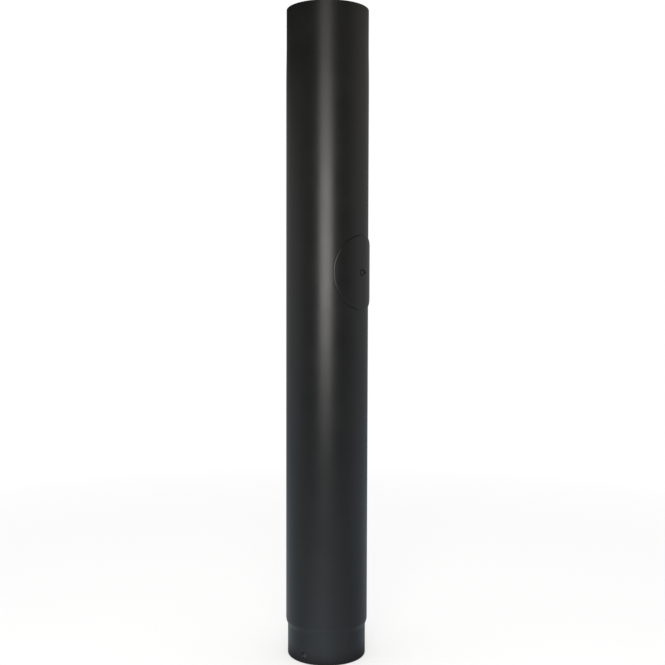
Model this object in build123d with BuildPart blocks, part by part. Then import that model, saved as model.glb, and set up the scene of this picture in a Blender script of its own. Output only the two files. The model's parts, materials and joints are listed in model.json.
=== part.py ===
"""Straight stove flue pipe with an oval, screwed-on inspection door.

The pipe stands on its spigot: the origin is the middle of the foot rim, +Z runs up the pipe's axis, and the door
faces -Y. Sizes are in millimetres.
"""

import os
from math import cos, pi, radians, sin, sqrt, tan

from build123d import *

# Pipe
pipe_length = 1000.0
pipe_bore = 125.0
pipe_wall = 1.2
edge_chamfer = 0.25

# Top end: the mouth is sized in to the spigot of the next pipe
socket_depth = 47.0
socket_inset = 0.55
socket_blend = 70.0

# Bottom end: swaged down so that it slides into the socket of another pipe
spigot_length = 44.5
spigot_clearance = 1.05
swage_length = 13.0
hanging_hole_diameter = 9.0
hanging_hole_height = 13.0

# Inspection door, an oval that was cut flat and then rolled to the pipe
door_height = 599.0
door_length = 114.0
door_width = 105.0
door_wall = 1.2
door_edge_chamfer = 0.35
door_overlap = 10.5
gasket_thickness = 0.8
gasket_pipe_gap = 0.2
gasket_door_inset = 1.5
gasket_access_inset = 1.0

# Button-head screw
screw_diameter = 6.0
screw_pitch = 1.0
screw_length = 25.0
screw_door_clearance = 0.3
screw_nut_clearance = 0.05
head_diameter = 10.5
head_height = 3.3
head_rim = 0.5
head_dome_radius = 5.75
head_seat_gap = 0.1
key_across_flats = 4.0
key_depth = 2.1

# Clamp bar and its nut
bar_width = 24.0
bar_thickness = 3.0
bar_overlap = 14.0
bar_corner_radius = 3.0
bar_edge_chamfer = 0.4
bar_pipe_gap = 0.3
nut_across_flats = 10.0
nut_height = 5.0
nut_chamfer_angle = 30.0

# Worked out from the sizes above, as distances from the pipe's axis
bore_radius = pipe_bore / 2
pipe_radius = bore_radius + pipe_wall
socket_bore_radius = bore_radius - socket_inset
spigot_radius = socket_bore_radius - spigot_clearance
gasket_inside = pipe_radius + gasket_pipe_gap
door_inside = gasket_inside + gasket_thickness
door_outside = door_inside + door_wall
access_length = door_length - 2 * door_overlap
screw_seat = door_outside + head_seat_gap
bar_outside = sqrt((bore_radius - bar_pipe_gap) ** 2 - (bar_width / 2) ** 2)
bar_inside = bar_outside - bar_thickness
bar_length = access_length + 2 * bar_overlap

outline_points = 24
cut_margin = 2.0


def door_plane(distance):
    """The plane that faces out of the door at this distance from the pipe's axis, with +Z upwards on it."""
    return Plane(origin=(0, -distance, door_height), x_dir=(1, 0, 0), z_dir=(0, -1, 0))


def axial_plane(distance):
    """The level plane along the screw's axis, with its Y running outwards from this distance."""
    return Plane(origin=(0, -distance, door_height), x_dir=(1, 0, 0), z_dir=(0, 0, -1))


def s_bend(start_radius, start_height, end_radius, end_height):
    """Two equal arcs that carry the pipe's wall over from one straight stretch to the next."""
    middle = ((start_radius + end_radius) / 2, (start_height + end_height) / 2)
    lower = TangentArc((start_radius, start_height), middle, tangent=(0, 1))
    TangentArc(middle, (end_radius, end_height), tangent=lower % 1)


def rolled_oval(inset, inside, outside):
    """Two outlines, inside and outside a wall, of the door's oval drawn in by this much and rolled to the pipe.

    A loft between them has sides that stand square to the wall all the way round.
    """
    sections = []
    turns = [2 * pi * index / outline_points for index in range(outline_points + 1)]
    half_width = door_width / 2 - inset
    half_length = door_length / 2 - inset
    side_depth = inside * cos(half_width / pipe_radius)
    for distance in (side_depth - cut_margin, outside + cut_margin):
        rim = []
        for turn in turns[:-1]:
            roll_angle = half_width * cos(turn) / pipe_radius
            rim.append((distance * tan(roll_angle), half_length * sin(turn)))
        with BuildSketch(door_plane(distance)) as section:
            with BuildLine():
                add(Edge.make_spline(rim, periodic=True, parameters=turns))
            make_face()
        sections.append(section.sketch)
    return sections


def rolled_ring(inside, outside):
    """Section of a hoop round the pipe's axis that holds a door piece of this inner and outer radius."""
    with BuildSketch(Plane.XZ) as section:
        with Locations(((inside + outside) / 2, door_height)):
            Rectangle(outside - inside, door_length + 2 * cut_margin)
    return section.sketch


# The pipe: one wall all the way, swaged in at the foot and sized in at the mouth
swage_top = spigot_length + swage_length
socket_bottom = pipe_length - socket_depth
socket_radius = pipe_radius - socket_inset
with BuildPart() as flue_pipe:
    with BuildSketch(Plane.XZ):
        with BuildLine():
            Line((spigot_radius, 0), (spigot_radius, spigot_length))
            s_bend(spigot_radius, spigot_length, pipe_radius, swage_top)
            Line((pipe_radius, swage_top), (pipe_radius, socket_bottom - socket_blend))
            s_bend(pipe_radius, socket_bottom - socket_blend, socket_radius, socket_bottom)
            Line((socket_radius, socket_bottom), (socket_radius, pipe_length))
            offset(amount=pipe_wall, side=Side.LEFT)
        make_face()
        chamfer(vertices().group_by(Axis.Y)[0] + vertices().group_by(Axis.Y)[-1], edge_chamfer)
    revolve(axis=Axis.Z)
    with BuildSketch(Plane(origin=(0, 0, hanging_hole_height), z_dir=(-1, 0, 0))):
        Circle(hanging_hole_diameter / 2)
    extrude(amount=pipe_radius + cut_margin, mode=Mode.SUBTRACT)
    loft(rolled_oval(door_overlap, bore_radius, pipe_radius), ruled=True, mode=Mode.SUBTRACT)

# The door's fibre gasket lies between the rim of the access opening and the rim of the door
with BuildPart() as door_gasket:
    revolve(rolled_ring(gasket_inside, door_inside), axis=Axis.Z)
    loft(rolled_oval(gasket_door_inset, gasket_inside, door_inside), ruled=True, mode=Mode.INTERSECT)
    gasket_opening_inset = door_overlap - gasket_access_inset
    loft(rolled_oval(gasket_opening_inset, gasket_inside, door_inside), ruled=True, mode=Mode.SUBTRACT)

# The door plate, with a clearance hole for the screw and a broken outer edge
with BuildPart() as door_plate:
    revolve(rolled_ring(door_inside, door_outside), axis=Axis.Z)
    loft(rolled_oval(0, door_inside, door_outside), ruled=True, mode=Mode.INTERSECT)
    outer_face = faces().filter_by(GeomType.CYLINDER).sort_by(SortBy.AREA)[-1]
    chamfer(outer_face.outer_wire().edges(), door_edge_chamfer)
    with BuildSketch(door_plane(0)):
        Circle(screw_diameter / 2 + screw_door_clearance)
    extrude(amount=door_outside + cut_margin, mode=Mode.SUBTRACT)

# The screw, turned about the door's normal, with a hexagon key socket
screw_axis = Axis((0, 0, door_height), (0, -1, 0))
dome_center = head_rim - sqrt(head_dome_radius**2 - (head_diameter / 2) ** 2)
head_crown_radius = sqrt(head_dome_radius**2 - (head_height - dome_center) ** 2)
with BuildPart() as clamp_screw:
    with BuildSketch(axial_plane(screw_seat)):
        with BuildLine():
            Polyline(
                (0, head_height),
                (0, -screw_length),
                (screw_diameter / 2 - screw_pitch, -screw_length),
                (screw_diameter / 2, screw_pitch - screw_length),
                (screw_diameter / 2, 0),
                (head_diameter / 2, 0),
                (head_diameter / 2, head_rim),
            )
            RadiusArc((head_diameter / 2, head_rim), (head_crown_radius, head_height), -head_dome_radius)
            Line((head_crown_radius, head_height), (0, head_height))
        make_face()
    revolve(axis=screw_axis)
    with BuildSketch(door_plane(screw_seat + head_height)):
        RegularPolygon(key_across_flats / 2, 6, major_radius=False)
    extrude(amount=-key_depth, mode=Mode.SUBTRACT)

# The clamp bar bridges the opening inside the pipe, with both ends against the wall
thread_clear_radius = screw_diameter / 2 + screw_nut_clearance
with BuildPart() as clamp_bar:
    with BuildSketch(door_plane(bar_inside)):
        RectangleRounded(bar_width, bar_length, bar_corner_radius)
    extrude(amount=bar_thickness)
    chamfer(faces().group_by(Axis.Y)[0].edges() + faces().group_by(Axis.Y)[-1].edges(), bar_edge_chamfer)
    with BuildSketch(door_plane(bar_inside)):
        Circle(thread_clear_radius)
    extrude(amount=bar_thickness, mode=Mode.SUBTRACT)

# The nut is welded on the inner face of the bar, with its free corners chamfered
nut_corner_radius = nut_across_flats / sqrt(3)
nut_chamfer_depth = (nut_corner_radius - nut_across_flats / 2) * tan(radians(nut_chamfer_angle))
with BuildPart() as weld_nut:
    with BuildSketch(door_plane(bar_inside)):
        RegularPolygon(nut_across_flats / 2, 6, major_radius=False)
    extrude(amount=-nut_height)
    with BuildSketch(axial_plane(bar_inside)):
        with BuildLine():
            Polyline(
                (0, 0),
                (nut_corner_radius, 0),
                (nut_corner_radius, nut_chamfer_depth - nut_height),
                (nut_across_flats / 2, -nut_height),
                (0, -nut_height),
                close=True,
            )
        make_face()
    revolve(axis=screw_axis, mode=Mode.INTERSECT)
    with BuildSketch(door_plane(bar_inside)):
        Circle(thread_clear_radius)
    extrude(amount=-nut_height, mode=Mode.SUBTRACT)

os.makedirs("parts", exist_ok=True)
pieces = {
    "flue_pipe": flue_pipe,
    "door_gasket": door_gasket,
    "door_plate": door_plate,
    "clamp_screw": clamp_screw,
    "clamp_bar": clamp_bar,
    "weld_nut": weld_nut,
}
for name, piece in pieces.items():
    piece.part.label = name
    export_step(piece.part, f"parts/{name}.step")
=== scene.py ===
"""Looks of the flue pipe with its inspection door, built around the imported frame. Everything is in metres.

A place on the pipe is given by its turn about the pipe's axis, its distance from that axis and its height.
The turn is 0 at the middle of the door and grows towards +X. The door, its gasket and its opening are ovals
that were drawn flat and then rolled to the pipe, so their half widths are lengths along its outer face.
"""

import json
from math import cos, pi, radians, sin, sqrt

import bpy
import numpy as np
from mathutils import Matrix, Vector


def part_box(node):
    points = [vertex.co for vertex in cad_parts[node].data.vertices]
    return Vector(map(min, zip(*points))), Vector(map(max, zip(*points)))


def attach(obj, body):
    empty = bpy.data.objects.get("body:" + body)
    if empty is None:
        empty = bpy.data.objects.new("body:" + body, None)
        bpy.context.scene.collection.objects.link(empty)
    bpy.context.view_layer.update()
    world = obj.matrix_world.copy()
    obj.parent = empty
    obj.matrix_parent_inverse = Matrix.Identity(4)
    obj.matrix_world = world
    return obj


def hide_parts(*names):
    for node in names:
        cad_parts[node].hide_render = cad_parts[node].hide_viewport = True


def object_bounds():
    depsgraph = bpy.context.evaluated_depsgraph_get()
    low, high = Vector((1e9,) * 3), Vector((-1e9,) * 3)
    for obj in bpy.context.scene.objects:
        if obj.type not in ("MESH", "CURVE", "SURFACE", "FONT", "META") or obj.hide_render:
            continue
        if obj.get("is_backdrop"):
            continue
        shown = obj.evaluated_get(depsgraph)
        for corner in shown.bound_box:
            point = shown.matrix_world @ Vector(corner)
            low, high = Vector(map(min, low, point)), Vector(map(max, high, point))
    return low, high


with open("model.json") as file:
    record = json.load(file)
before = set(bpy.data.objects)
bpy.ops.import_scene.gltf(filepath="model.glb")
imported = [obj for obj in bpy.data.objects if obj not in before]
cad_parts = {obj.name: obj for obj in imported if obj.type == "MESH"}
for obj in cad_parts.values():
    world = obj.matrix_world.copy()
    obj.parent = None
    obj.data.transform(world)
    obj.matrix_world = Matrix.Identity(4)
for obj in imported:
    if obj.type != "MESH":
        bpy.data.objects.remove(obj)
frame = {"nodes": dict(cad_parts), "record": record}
cad_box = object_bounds()

MM = 0.001

# Sizes that the frame gives
mounts = {mount["name"]: mount for mount in frame["record"]["mounts"]}
pipe_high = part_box("flue_pipe")[1]
door_low, door_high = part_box("door_plate")
gasket_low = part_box("door_gasket")[0]
screw_low, screw_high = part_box("clamp_screw")
pipe_radius = pipe_high.x
pipe_length = pipe_high.z
spigot_radius = mounts["spigot"]["dims"]["r_mm"] * MM
hole_radius = mounts["hanging_hole"]["dims"]["r_mm"] * MM
hole_height = mounts["hanging_hole"]["pos_m"][2]
door_height = (door_low.z + door_high.z) / 2
door_half_length = (door_high.z - door_low.z) / 2
door_outside = -door_low.y
gasket_outside = -gasket_low.y
screw_top = -screw_low.y
screw_tip = -screw_high.y
head_radius = screw_high.x

# Sizes that the frame doesn't give by itself
wall = 1.2 * MM
socket_radius = mounts["top_socket"]["dims"]["r_mm"] * MM + wall
spigot_length = 44.5 * MM
swage_length = 13 * MM
socket_depth = 47 * MM
socket_blend = 70 * MM
door_half_width = 52.5 * MM
access_inset = 10.5 * MM
gasket_inset = 1.5 * MM
gasket_opening_inset = 9.5 * MM
gasket_thickness = 0.8 * MM
screw_radius = 3 * MM
screw_pitch = 1 * MM
thread_depth = 0.61 * screw_pitch
screw_hole = 3.3 * MM
head_height = 3.3 * MM
head_rim = 0.5 * MM
head_dome = 5.75 * MM
head_softening = 0.15 * MM
key_flats = 4 * MM
key_depth = 2.1 * MM

# Finish of the edges, each as its reach along the face and its depth into the wall
cut_edge = (0.3 * MM, 0.3 * MM)
hole_edge = (0.2 * MM, 0.2 * MM)
door_edge = (1.4 * MM, 0.75 * MM)

# The pipe's weld seam, at the back
seam_turn = radians(135)
seam_width = 2 * MM
seam_rise = 0.1 * MM

# How far the coating is gone on the inside of the pipe
thin_coat = 0.15

# How fine the meshes are
edge_steps = 6
wall_columns = 192
seam_columns = 5
plate_points = 192
screw_points = 96
dome_rows = 11
rows_per_thread = 16
studio_points = 96

# Rows or columns of the wall's grid that agree to this many decimals are one
grid_decimals = 9


def full_turn(count):
    """This many even turns, once round."""
    return np.arange(count) * 2 * pi / count


def on_pipe(turn, distance, height):
    """Points at these turns, distances from the pipe's axis and heights."""
    return np.stack(np.broadcast_arrays(distance * np.sin(turn), -distance * np.cos(turn), height), axis=-1)


def door_oval(inset):
    """Half width and half length of the door's oval, drawn in by this much."""
    return np.array([door_half_width, door_half_length]) - inset


def rounded_edge(thickness, outer, inner):
    """The way round a wall's cut edge, as pairs of depth under the outer face and reach towards the edge."""
    bend = np.linspace(0, pi / 2, edge_steps + 1)
    outside = [(outer[1] * (1 - cos(b)), outer[0] * sin(b)) for b in bend]
    inside = [(thickness - inner[1] * (1 - cos(b)), outer[0] - inner[0] * (1 - sin(b))) for b in bend]
    return outside + inside[::-1]


class Skin:
    """Collects rings of points and the faces between them."""

    def __init__(self):
        self.points = []
        self.faces = []
        self.values = []
        self.count = 0

    def ring(self, points, worn_and_shaded=0.0):
        """Adds points and gives their numbers. The last value, from 0 to 1, says how far the finish is gone
        there, and on the screw's socket and the gasket's outer rim it sets painted shade.
        """
        points = np.asarray(points, float).reshape(-1, 3)
        numbers = np.arange(self.count, self.count + len(points))
        self.points.append(points)
        self.values.append(np.broadcast_to(worn_and_shaded, len(points)))
        self.count += len(points)
        return numbers

    def quads(self, corners):
        """Adds faces by the numbers of their four corners."""
        self.faces += np.reshape(corners, (-1, 4)).tolist()

    def bands(self, rings):
        """Quads along a row of closed rings with as many points each."""
        for first, second in zip(rings, rings[1:]):
            self.quads(np.stack([first, np.roll(first, -1), np.roll(second, -1), second], axis=1))

    def cap(self, ring, point):
        """Closes a ring with a fan to one point in its middle."""
        middle = int(self.ring([point])[0])
        self.faces += [[a, b, middle] for a, b in zip(ring.tolist(), np.roll(ring, -1).tolist())]

    def finish(self, name):
        """Makes the object, without the points that no face uses."""
        points = np.concatenate(self.points)
        values = np.concatenate(self.values)
        used = np.unique([number for face in self.faces for number in face])
        renumber = np.zeros(len(points), int)
        renumber[used] = np.arange(len(used))
        mesh = bpy.data.meshes.new(name)
        mesh.from_pydata(points[used].tolist(), [], [renumber[face].tolist() for face in self.faces])
        worn_and_shaded = mesh.attributes.new("worn_and_shaded", "FLOAT", "POINT")
        worn_and_shaded.data.foreach_set("value", values[used].astype(np.float32))
        mesh.shade_smooth()
        piece = bpy.data.objects.new(name, mesh)
        bpy.context.scene.collection.objects.link(piece)
        piece.modifiers.new("even_shading", "WEIGHTED_NORMAL")
        return piece


def dress(piece, node, body, material):
    """Puts a piece in the place of a node of the frame."""
    piece.data.materials.append(material)
    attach(piece, body)
    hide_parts(node)


# Material nodes

def new_material(name, **settings):
    """A material with these values on its shader's sockets, its node tree and the shader."""
    material = bpy.data.materials.new(name)
    material.use_nodes = True
    tree = material.node_tree
    shader = tree.nodes["Principled BSDF"]
    for socket, value in settings.items():
        shader.inputs[socket.replace("_", " ")].default_value = value
    return material, tree, shader


def noise(tree, size, detail=2.0, stretch=(1, 1, 1)):
    """Noise with spots of about this size, drawn out along an axis by a stretch below 1."""
    place = tree.nodes.new("ShaderNodeTexCoord")
    mapping = tree.nodes.new("ShaderNodeMapping")
    mapping.inputs["Scale"].default_value = stretch
    texture = tree.nodes.new("ShaderNodeTexNoise")
    texture.inputs["Scale"].default_value = 1 / size
    texture.inputs["Detail"].default_value = detail
    tree.links.new(place.outputs["Object"], mapping.inputs["Vector"])
    tree.links.new(mapping.outputs["Vector"], texture.inputs["Vector"])
    return texture.outputs["Fac"]


def between(tree, source, low, high, start=0.3, end=0.7):
    """Takes a value from start..end to low..high. Most of a noise lies in the usual start..end."""
    node = tree.nodes.new("ShaderNodeMapRange")
    for socket, value in (("From Min", start), ("From Max", end), ("To Min", low), ("To Max", high)):
        node.inputs[socket].default_value = value
    tree.links.new(source, node.inputs["Value"])
    return node.outputs["Result"]


def combine(tree, operation, total, *others):
    """A sum, product or the like of several values, taken one after the other."""
    for other in others:
        node = tree.nodes.new("ShaderNodeMath")
        node.operation = operation
        tree.links.new(total, node.inputs[0])
        tree.links.new(other, node.inputs[1])
        total = node.outputs[0]
    return total


def blend(tree, share, first, second):
    """A colour between two, each a colour or a socket, by a share from 0 to 1."""
    node = tree.nodes.new("ShaderNodeMix")
    node.data_type = "RGBA"
    tree.links.new(share, node.inputs["Factor"])
    for name, value in (("A", first), ("B", second)):
        target = next(socket for socket in node.inputs if socket.name == name and socket.type == "RGBA")
        if isinstance(value, bpy.types.NodeSocket):
            tree.links.new(value, target)
        else:
            target.default_value = (*value, 1)
    return next(socket for socket in node.outputs if socket.type == "RGBA")


def rough_up(tree, shader, source, height, strength=1.0):
    """Raises the surface by up to this height where the source is high."""
    bump = tree.nodes.new("ShaderNodeBump")
    bump.inputs["Distance"].default_value = height
    bump.inputs["Strength"].default_value = strength
    tree.links.new(source, bump.inputs["Height"])
    tree.links.new(bump.outputs["Normal"], shader.inputs["Normal"])


def wear_and_shade(tree):
    """How far the finish is gone, from the mesh; on the screw's socket and the gasket's outer rim this is
    painted shade.
    """
    node = tree.nodes.new("ShaderNodeAttribute")
    node.attribute_name = "worn_and_shaded"
    return node.outputs["Fac"]


def black_coating(name, smoothest, roughest):
    """Baked stove coating: near black and satin, with a fine grain and faint clouds.

    The grey steel shows through where it is thin.
    """
    dark = (0.0095, 0.0094, 0.0093)
    light = (0.0118, 0.0117, 0.0115)
    bare = (0.24, 0.235, 0.23)
    material, tree, shader = new_material(name, Specular_IOR_Level=0.5)
    clouds = noise(tree, size=40 * MM, detail=3)
    grain = noise(tree, size=0.9 * MM)
    coat = blend(tree, between(tree, clouds, 0, 1), dark, light)
    tree.links.new(blend(tree, wear_and_shade(tree), coat, bare), shader.inputs["Base Color"])
    tree.links.new(between(tree, clouds, smoothest, roughest), shader.inputs["Roughness"])
    rough_up(tree, shader, grain, height=0.02 * MM, strength=0.5)
    return material


def black_screw():
    """Blackened steel with a dull oiled skin; in the hexagon socket the gloss is taken away as painted shade,
    so the recess reads dark.
    """
    dark = (0.012, 0.012, 0.0122)
    light = (0.017, 0.017, 0.0172)
    smoothest, roughest = 0.48, 0.56
    clean_gloss, shaded_socket_gloss = 0.4, 0.05
    material, tree, shader = new_material("black_screw")
    clouds = noise(tree, size=2 * MM)
    # Painted shade: where the mesh is marked, in the socket, the gloss falls almost to nothing.
    gloss = between(tree, wear_and_shade(tree), clean_gloss, shaded_socket_gloss, start=0, end=1)
    tree.links.new(blend(tree, between(tree, clouds, 0, 1), dark, light), shader.inputs["Base Color"])
    tree.links.new(between(tree, clouds, smoothest, roughest), shader.inputs["Roughness"])
    tree.links.new(gloss, shader.inputs["Specular IOR Level"])
    return material


def fibre_gasket():
    """Pressed mineral fibre: pale and matt, with short fibres lying every way, and near black on its outer
    rim as painted shade for the gap under the door.
    """
    dull = (0.55, 0.53, 0.48)
    pale = (0.8, 0.78, 0.72)
    stain = (0.42, 0.4, 0.36)
    gap_shade = (0.02, 0.02, 0.02)
    strongest_stain = 0.5
    material, tree, shader = new_material("fibre_gasket", Specular_IOR_Level=0.2, Roughness=0.95)
    fibres = noise(tree, size=1.2 * MM, detail=6)
    stains = noise(tree, size=14 * MM)
    clean = blend(tree, between(tree, fibres, 0, 1), dull, pale)
    stained = blend(tree, between(tree, stains, 0, strongest_stain), clean, stain)
    # Near black where the mesh is marked: painted shade on the outer rim, in the gap between door and pipe.
    tree.links.new(blend(tree, wear_and_shade(tree), stained, gap_shade), shader.inputs["Base Color"])
    rough_up(tree, shader, fibres, height=0.15 * MM)
    return material


def plain_steel():
    """Bare drawn steel with fine lines along its length and a little tarnish."""
    dark = (0.34, 0.34, 0.345)
    light = (0.46, 0.46, 0.465)
    brown = (0.26, 0.24, 0.225)
    strongest_tarnish = 0.45
    smoothest, roughest = 0.42, 0.58
    material, tree, shader = new_material("plain_steel", Metallic=1.0)
    lines = noise(tree, size=0.35 * MM, detail=3, stretch=(1, 1, 0.03))
    tarnish = noise(tree, size=9 * MM, detail=3)
    bright = blend(tree, between(tree, lines, 0, 1), dark, light)
    colour = blend(tree, between(tree, tarnish, 0, strongest_tarnish), bright, brown)
    tree.links.new(colour, shader.inputs["Base Color"])
    tree.links.new(between(tree, tarnish, smoothest, roughest), shader.inputs["Roughness"])
    rough_up(tree, shader, lines, height=0.02 * MM, strength=0.4)
    return material


# The pipe's wall: a grid round the axis, with a patch of rings wherever something is cut out of it

class Cut:
    """An oval opening in the wall, and the square patch of the grid round it that its rings take up.

    The patch reaches a number of the grid's cells to each side of the opening's middle.
    """

    def __init__(self, turn, height, half_sizes, edge, distance, cells, ring_count):
        self.turn = turn
        self.height = height
        self.half_sizes = half_sizes
        self.edge = edge
        self.distance = distance
        self.ring_count = ring_count
        self.half_turn = cells * 2 * pi / wall_columns
        self.reach = self.half_turn * distance
        self.rows = np.linspace(height - self.reach, height + self.reach, 2 * cells + 1)


access = Cut(
    turn=0,
    height=door_height,
    half_sizes=door_oval(access_inset),
    edge=cut_edge,
    distance=pipe_radius,
    cells=30,
    ring_count=9,
)
hanging = Cut(
    turn=-pi / 2,
    height=hole_height,
    half_sizes=np.full(2, hole_radius),
    edge=hole_edge,
    distance=spigot_radius,
    cells=4,
    ring_count=4,
)
cuts = (access, hanging)

socket_bottom = pipe_length - socket_depth
blend_bottom = socket_bottom - socket_blend
swage_top = spigot_length + swage_length


def s_bend(rise, run, height):
    """How far a wall has gone sideways at this height of a bend of two equal arcs."""
    height = np.clip(height, 0, run)
    arc = (run**2 + rise**2) / (4 * abs(rise))
    start = arc - np.sqrt(arc**2 - np.minimum(height, run / 2) ** 2)
    end = abs(rise) - arc + np.sqrt(arc**2 - np.minimum(run - height, run / 2) ** 2)
    return np.sign(rise) * np.where(height < run / 2, start, end)


def outer_radius(height):
    """The pipe's outer radius at this height."""
    swage = s_bend(pipe_radius - spigot_radius, swage_length, height - spigot_length)
    mouth = s_bend(socket_radius - pipe_radius, socket_blend, height - blend_bottom)
    return spigot_radius + swage + mouth


def wall_turns():
    """The turns of the grid's columns, with a few more beside the weld seam, and the seam's rise at each."""
    even = full_turn(wall_columns) - pi
    beside_seam = seam_turn + np.linspace(-0.5, 0.5, seam_columns) * seam_width / pipe_radius
    turns = np.unique(np.round(np.concatenate([even, beside_seam]), grid_decimals))
    across = np.clip(np.abs(turns - seam_turn) * pipe_radius / (seam_width / 2), 0, 1)
    return turns, seam_rise * np.cos(across * pi / 2) ** 2


def wall_rows():
    """Heights of the grid's rows, close together only where the wall bends or is cut."""
    # Lower end, upper end and number of rows of each stretch
    stretches = (
        (cut_edge[0], hanging.rows[0], 3),
        (hanging.rows[-1], spigot_length, 5),
        (spigot_length, swage_top, 17),
        (swage_top, access.rows[0], 20),
        (access.rows[-1], blend_bottom, 10),
        (blend_bottom, socket_bottom, 13),
        (socket_bottom, pipe_length - cut_edge[0], 4),
    )
    rows = [np.linspace(start, end, count) for start, end, count in stretches]
    rows += [cut.rows for cut in cuts]
    return np.unique(np.round(np.concatenate(rows), grid_decimals))


def build_pipe():
    """One wall from foot to mouth, with softened ends, the access opening and the hanging hole."""
    skin = Skin()
    turns, seam = wall_turns()
    rows = wall_rows()
    radius = outer_radius(rows)
    slope = np.gradient(radius, rows)
    square_on = 1 / np.sqrt(1 + slope**2)

    def layer(depth, rise, worn_and_shaded):
        """All points of the grid this deep in the wall, as an array of numbers by row and column."""
        distance = (radius - depth * square_on)[:, None] + rise
        height = (rows + depth * slope * square_on)[:, None]
        return skin.ring(on_pipe(turns, distance, height), worn_and_shaded).reshape(len(rows), len(turns))

    def grid(numbers, way):
        """Quads of the grid, apart from the squares of the cuts, facing out (1) or in (-1)."""
        row_middle = ((rows[1:] + rows[:-1]) / 2)[:, None]
        turn_middle = (turns + np.append(turns[1:], turns[0] + 2 * pi)) / 2
        kept = np.ones((len(rows) - 1, len(turns)), bool)
        for cut in cuts:
            beside = np.abs(turn_middle - cut.turn) > cut.half_turn
            kept &= beside | (np.abs(row_middle - cut.height) > cut.reach)
        onward = np.roll(numbers, -1, axis=1)
        corners = np.stack([numbers[:-1], onward[:-1], onward[1:], numbers[1:]], axis=-1)
        skin.quads(corners[kept][:, ::way])

    def border(cut):
        """Rows and columns along the edge of a cut's square, once round."""
        low, high = np.abs(rows[:, None] - cut.rows[[0, -1]]).argmin(axis=0)
        sides = cut.turn + np.array([-cut.half_turn, cut.half_turn])
        left, right = np.abs(turns[:, None] - sides).argmin(axis=0)
        path = [(low, column) for column in range(left, right)]
        path += [(row, right) for row in range(low, high)]
        path += [(high, column) for column in range(right, left, -1)]
        path += [(row, left) for row in range(high, low, -1)]
        return np.transpose(path)

    outer = layer(depth=0, rise=seam, worn_and_shaded=0)
    inner = layer(depth=wall, rise=0, worn_and_shaded=thin_coat)
    grid(outer, way=1)
    grid(inner, way=-1)

    def close_end(row, way):
        """The softened cut edge at the foot (-1) or the mouth (1)."""
        rings = [outer[row]]
        for depth, reach in rounded_edge(wall, cut_edge, cut_edge)[1:-1]:
            distance = radius[row] - depth + seam * (1 - depth / wall)
            rings.append(skin.ring(on_pipe(turns, distance, rows[row] + way * reach)))
        rings.append(inner[row])
        skin.bands(rings[::way])

    def open_up(cut):
        """Rings from a cut's square to its lip, round its softened edge and out again on the inner side."""
        row, column = border(cut)
        side = (turns[column] - cut.turn) * cut.distance
        up = rows[row] - cut.height

        def oval(depth, reach=0, share=0, worn_and_shaded=0.0):
            """The lip drawn in by a reach, and from there a share of the way to the square."""
            half_width, half_length = cut.half_sizes + cut.edge[0] - reach
            to_lip = 1 / np.hypot(side / half_width, up / half_length)
            scale = to_lip + share * (1 - to_lip)
            turn = cut.turn + side * scale / cut.distance
            return skin.ring(on_pipe(turn, cut.distance - depth, cut.height + up * scale), worn_and_shaded)

        closer_to_lip = 1.3
        shares = np.linspace(1, 0, cut.ring_count + 1)[1:] ** closer_to_lip
        face = [outer[row, column]] + [oval(0, share=share) for share in shares]
        back = [inner[row, column]] + [oval(wall, share=share, worn_and_shaded=thin_coat) for share in shares]
        path = rounded_edge(wall, cut.edge, cut.edge)[1:-1]
        lip = [oval(depth, reach=reach) for depth, reach in path]
        skin.bands(face + lip + back[::-1])

    close_end(row=0, way=-1)
    close_end(row=-1, way=1)
    for cut in cuts:
        open_up(cut)
    return skin.finish("flue_pipe_skin")


# The door and its gasket

def rolled_plate(name, opening, rim, outside, thickness, rim_edge, ring_count, rim_shade=0.0):
    """A rolled ring with softened edges, by the half sizes of its outlines and its outer face's distance."""
    skin = Skin()
    around = full_turn(plate_points)

    def oval(half_sizes, depth, worn_and_shaded=0.0):
        """A ring of the plate by its half sizes and its depth under the outer face."""
        turn = half_sizes[0] * np.cos(around) / pipe_radius
        height = door_height + half_sizes[1] * np.sin(around)
        return skin.ring(on_pipe(turn, outside - depth, height), worn_and_shaded)

    def face(depth, edge):
        """Rings of one face, from the rim to the opening."""
        start = rim - edge[0]
        end = opening + hole_edge[0]
        return [oval(start + share * (end - start), depth) for share in np.linspace(0, 1, ring_count)]

    front = face(0, rim_edge)
    back = face(thickness, hole_edge)
    rim_path = rounded_edge(thickness, rim_edge, hole_edge)[1:-1]
    opening_path = rounded_edge(thickness, hole_edge, hole_edge)[1:-1]
    rim_rings = [oval(rim - rim_edge[0] + reach, depth, rim_shade) for depth, reach in rim_path]
    opening_rings = [oval(opening + hole_edge[0] - reach, depth) for depth, reach in opening_path]
    skin.bands(front + opening_rings + back[::-1] + rim_rings[::-1] + front[:1])
    return skin.finish(name)


# The screw: rings round its own axis, which runs out through the middle of the door

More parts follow.
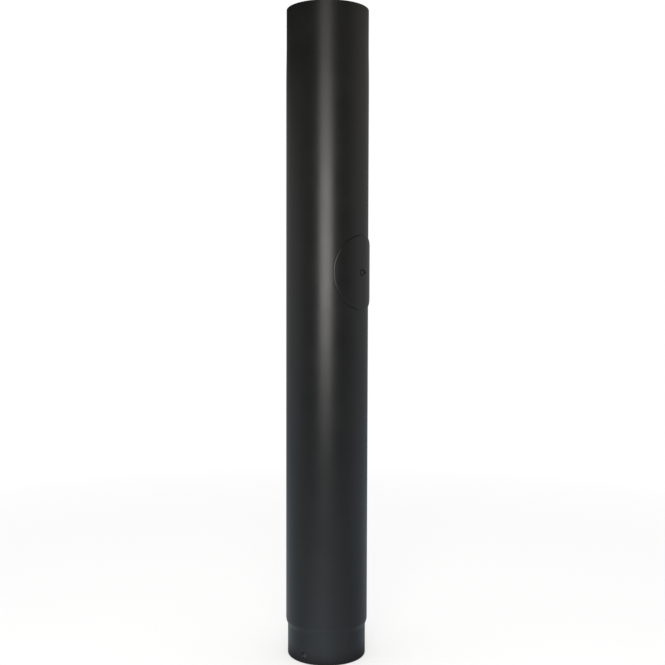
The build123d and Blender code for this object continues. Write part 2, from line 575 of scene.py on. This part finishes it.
def build_screw():
    """A button head with a hexagon socket on a fully threaded shank."""
    skin = Skin()
    around = full_turn(screw_points)
    seat = screw_top - head_height
    shoulder = seat + head_rim

    def ring(radius, out, worn_and_shaded=0.0):
        """A ring at this radius and this distance from the pipe's axis."""
        side = radius * np.cos(around)
        up = radius * np.sin(around)
        return skin.ring(np.stack(np.broadcast_arrays(side, -out, door_height + up), axis=-1), worn_and_shaded)

    def thread(out):
        """Radius of the thread all round at this distance: sloping flanks with flat crests and roots."""
        flank_slope = 2.9
        crest_cut = 0.35
        phase = (out / screw_pitch - around / (2 * pi)) % 1
        groove = np.clip(np.abs(phase - 0.5) * flank_slope - crest_cut, 0, 1)
        tip = screw_radius - screw_pitch + out - screw_tip
        return np.minimum(screw_radius - thread_depth * groove, tip)

    thread_rows = round((seat - screw_tip) / screw_pitch * rows_per_thread)
    dome_centre = shoulder - sqrt(head_dome**2 - head_radius**2)
    crown = sqrt(head_dome**2 - (screw_top - dome_centre) ** 2)
    hexagon = key_flats / 2 / np.cos((around + pi / 6) % (pi / 3) - pi / 6)
    socket_floor = screw_top - key_depth

    rings = [ring(thread(out), out) for out in np.linspace(screw_tip, seat, thread_rows)]
    rings.append(ring(head_radius - head_softening, seat))
    rings.append(ring(head_radius, seat + head_softening))
    for out in np.linspace(shoulder, screw_top, dome_rows):
        rings.append(ring(sqrt(head_dome**2 - (out - dome_centre) ** 2), out))
    rings.append(ring(np.minimum(hexagon + head_softening, (hexagon + crown) / 2), screw_top))
    # The socket's walls and floor are marked for painted shade, which takes their gloss away.
    rings.append(ring(hexagon, screw_top - head_softening, worn_and_shaded=1))
    rings.append(ring(hexagon, socket_floor, worn_and_shaded=1))
    rings.append(ring(hexagon / 2, socket_floor - head_softening, worn_and_shaded=1))
    skin.bands(rings)
    skin.cap(rings[0][::-1], (0, -screw_tip, door_height))
    skin.cap(rings[-1], (0, -(socket_floor - 2 * head_softening), door_height))
    return skin.finish("clamp_screw_skin")


# All pieces in their places

pipe_coating = black_coating("pipe_coating", smoothest=0.33, roughest=0.36)
door_coating = black_coating("door_coating", smoothest=0.29, roughest=0.315)
pipe_skin = build_pipe()
door_skin = rolled_plate(
    "door_plate_skin",
    opening=np.full(2, screw_hole),
    rim=door_oval(0),
    outside=door_outside,
    thickness=wall,
    rim_edge=door_edge,
    ring_count=30,
)
gasket_skin = rolled_plate(
    "door_gasket_skin",
    opening=door_oval(gasket_opening_inset),
    rim=door_oval(gasket_inset),
    outside=gasket_outside,
    thickness=gasket_thickness,
    rim_edge=hole_edge,
    ring_count=8,
    # Painted shade: the outer rim is made near black, for the dark gap between the door and the pipe.
    rim_shade=1,
)
dress(pipe_skin, "flue_pipe", "pipe", pipe_coating)
dress(door_skin, "door_plate", "door", door_coating)
dress(gasket_skin, "door_gasket", "door", fibre_gasket())
dress(build_screw(), "clamp_screw", "screw", black_screw())
steel = plain_steel()
for node in ("clamp_bar", "weld_nut"):
    frame["nodes"][node].data.materials.clear()
    frame["nodes"][node].data.materials.append(steel)


# Camera, from the outlines of the pipe and its door in the photograph. Angles are in radians.

photo_width = 665
focal_pixels = 977.3
camera_distance = 1523.3 * MM
camera_height = 582.1 * MM
door_from_camera = radians(55.3)
camera_pitch = 0.05001
camera_yaw = -0.00554
camera_roll = 0.00246


def add_camera():
    """The photograph's viewpoint, without any shift."""
    ahead = Vector((-sin(camera_yaw), cos(camera_yaw), 0))
    level = Vector((cos(camera_yaw), sin(camera_yaw), 0))
    forward = cos(camera_pitch) * ahead - sin(camera_pitch) * Vector((0, 0, 1))
    upright = sin(camera_pitch) * ahead + cos(camera_pitch) * Vector((0, 0, 1))
    right = level * cos(camera_roll) + upright * sin(camera_roll)
    up = upright * cos(camera_roll) - level * sin(camera_roll)
    place = Matrix((right, up, -forward)).transposed().to_4x4()
    place.translation = (0, -camera_distance, camera_height)
    data = bpy.data.cameras.new("camera")
    data.lens = focal_pixels / photo_width * data.sensor_width
    camera = bpy.data.objects.new("camera", data)
    camera.matrix_world = Matrix.Rotation(-door_from_camera, 4, "Z") @ place
    bpy.context.scene.collection.objects.link(camera)
    bpy.context.scene.camera = camera


# Studio

def from_camera(turn, distance, height):
    """A place round the pipe, with the turn in degrees from the camera's side towards its right."""
    return Vector(on_pipe(radians(turn) - door_from_camera, distance, height))


def add_lamp(name, place, target, width, height, power, colour):
    """A soft rectangular lamp that faces its target."""
    data = bpy.data.lights.new(name, "AREA")
    data.shape = "RECTANGLE"
    data.size = width
    data.size_y = height
    data.energy = power
    data.color = colour
    lamp = bpy.data.objects.new(name, data)
    lamp.location = place
    lamp.rotation_euler = (place - target).to_track_quat("Z", "Y").to_euler()
    bpy.context.scene.collection.objects.link(lamp)
    return lamp


def seen_directly(tree):
    """1 for rays from the camera, a mirror or through glass, and 0 for the light that falls on things."""
    path = tree.nodes.new("ShaderNodeLightPath")
    mirrored = combine(tree, "MAXIMUM", path.outputs["Is Glossy Ray"], path.outputs["Is Transmission Ray"])
    return combine(tree, "MAXIMUM", path.outputs["Is Camera Ray"], mirrored)


def add_world(ambient):
    """White where it is seen, and a soft even light elsewhere."""
    world = bpy.data.worlds.new("studio")
    world.use_nodes = True
    bpy.context.scene.world = world
    tree = world.node_tree
    background = tree.nodes["Background"]
    background.inputs["Color"].default_value = (1, 1, 1, 1)
    strength = between(tree, seen_directly(tree), ambient, 1, start=0, end=1)
    tree.links.new(strength, background.inputs["Strength"])


def place_of(tree):
    """The place on an object as its three coordinates and its distance from the object's origin."""
    place = tree.nodes.new("ShaderNodeTexCoord").outputs["Object"]
    apart = tree.nodes.new("ShaderNodeSeparateXYZ")
    length = tree.nodes.new("ShaderNodeVectorMath")
    length.operation = "LENGTH"
    tree.links.new(place, apart.inputs["Vector"])
    tree.links.new(place, length.inputs[0])
    return (*apart.outputs, length.outputs["Value"])


def add_floor(radius, fade_start, fade_end, shade, inside_shade, own_light):
    """A pale floor that keeps the pipe's shadow near its foot and fades into the white background.

    Where it is seen it has some light of its own, but not inside the pipe.
    """
    bpy.ops.mesh.primitive_circle_add(vertices=studio_points, radius=radius, fill_type="NGON")
    floor = bpy.context.object
    floor.name = "floor"
    material, tree, shader = new_material("floor_paint", Roughness=0.9, Specular_IOR_Level=0)
    *_, distance = place_of(tree)
    fading = between(tree, distance, 1, 0, fade_start, fade_end)
    paint = between(tree, distance, inside_shade, shade, spigot_radius - wall, spigot_radius)
    tree.links.new(combine(tree, "MULTIPLY", fading, paint), shader.inputs["Base Color"])
    glow = between(tree, distance, own_light, 1, fade_start, fade_end)
    outside = between(tree, distance, 0, 1, spigot_radius - wall, spigot_radius)
    shown = combine(tree, "MULTIPLY", outside, seen_directly(tree))
    shader.inputs["Emission Color"].default_value = (1, 1, 1, 1)
    tree.links.new(combine(tree, "MULTIPLY", glow, shown), shader.inputs["Emission Strength"])
    floor.data.materials.append(material)
    floor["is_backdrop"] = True


def room_light(tree):
    """Strength and tint of the room's light at each place on its walls and floor.

    The walls are pale at the sides and dark in front and above. The floor is palest in front of the pipe, and
    darker right of it and close to its foot.
    """
    across, ahead, up, away = place_of(tree)

    front_to_side = between(tree, ahead, 0.1, 0.45, start=-1.9, end=0)
    side_to_back = between(tree, ahead, 1, 0.72, start=0.4, end=1.6)
    left_to_right = between(tree, across, 1.05, 0.97, start=-2.2, end=2.2)
    left_drop = between(tree, across, 0.3, -0.38, start=-2.6, end=2.6)
    below_ceiling = between(tree, combine(tree, "ADD", up, left_drop), 1, 0, start=1.3, end=1.85)
    walls = combine(tree, "MULTIPLY", front_to_side, side_to_back, left_to_right, below_ceiling)

    facing = combine(tree, "DIVIDE", ahead, away)
    in_front = between(tree, facing, 0.5, 0.08, start=-1, end=-0.5)
    close_by = between(tree, away, 1, 0, start=0.25, end=1.4)
    rug = combine(tree, "MULTIPLY", in_front, close_by)

    shade_on_right = between(tree, away, 0.72, 1, start=0.25, end=0.9)
    left_side = between(tree, across, 1, 0, start=0, end=0.15)
    right_shade = combine(tree, "MAXIMUM", shade_on_right, left_side)
    foot_shade = between(tree, away, 0.25, 1, start=0.06, end=0.1)
    shade = combine(tree, "MULTIPLY", right_shade, foot_shade)
    strength = combine(tree, "MULTIPLY", combine(tree, "ADD", walls, rug), shade)

    cool, neutral, warm = (0.86, 1.0, 1.1), (1, 1, 1), (1.1, 1.03, 0.88)
    lower_tint = blend(tree, between(tree, up, 0, 1, start=0.02, end=0.3), cool, neutral)
    tint = blend(tree, between(tree, up, 0, 1, start=1, end=1.7), lower_tint, warm)
    return strength, tint


def add_surround(distance, height):
    """A dim round room that only shows as reflections."""
    above_floor = 1 * MM
    clear_of_pipe = 0.5 * MM
    ceiling_hole = 1 * MM
    skin = Skin()
    around = full_turn(studio_points)
    profile = (
        (spigot_radius + clear_of_pipe, above_floor),
        (distance, above_floor),
        (distance, height),
        (ceiling_hole, height),
    )
    skin.bands([skin.ring(on_pipe(around, radius, level)) for radius, level in profile])
    surround = skin.finish("surround")
    surround.rotation_euler.z = -door_from_camera
    material, tree, shader = new_material("room", Base_Color=(0, 0, 0, 1), Specular_IOR_Level=0)
    strength, tint = room_light(tree)
    tree.links.new(tint, shader.inputs["Emission Color"])
    tree.links.new(strength, shader.inputs["Emission Strength"])
    surround.data.materials.append(material)
    surround.visible_camera = False
    surround.visible_diffuse = False
    surround.visible_shadow = False
    surround.visible_transmission = False
    surround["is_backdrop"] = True


add_camera()
add_lamp(
    "key",
    place=from_camera(turn=-3.6, distance=1.45, height=0.66),
    target=Vector((0, 0, 0.62)),
    width=0.78,
    height=0.52,
    power=9.2,
    colour=(1, 0.985, 0.96),
)
add_lamp(
    "upper",
    place=from_camera(turn=-5.2, distance=1.45, height=1.15),
    target=Vector((0, 0, 0.75)),
    width=0.78,
    height=0.5,
    power=2.45,
    colour=(1, 0.975, 0.89),
)
overhead = add_lamp(
    "overhead",
    place=Vector((0, 0, 2.4)),
    target=Vector((0, 0, 0.5)),
    width=1.6,
    height=1.6,
    power=24,
    colour=(1, 1, 1),
)
overhead.visible_glossy = False
add_world(ambient=0.5)
add_floor(radius=6, fade_start=0.5, fade_end=1.6, shade=0.5, inside_shade=0.9, own_light=0.52)
add_surround(distance=2.6, height=3.2)
bpy.context.scene.view_settings.view_transform = "Standard"

boxes = {"cad": cad_box, "visual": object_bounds()}
{name: [list(corner) for corner in box] for name, box in boxes.items()}
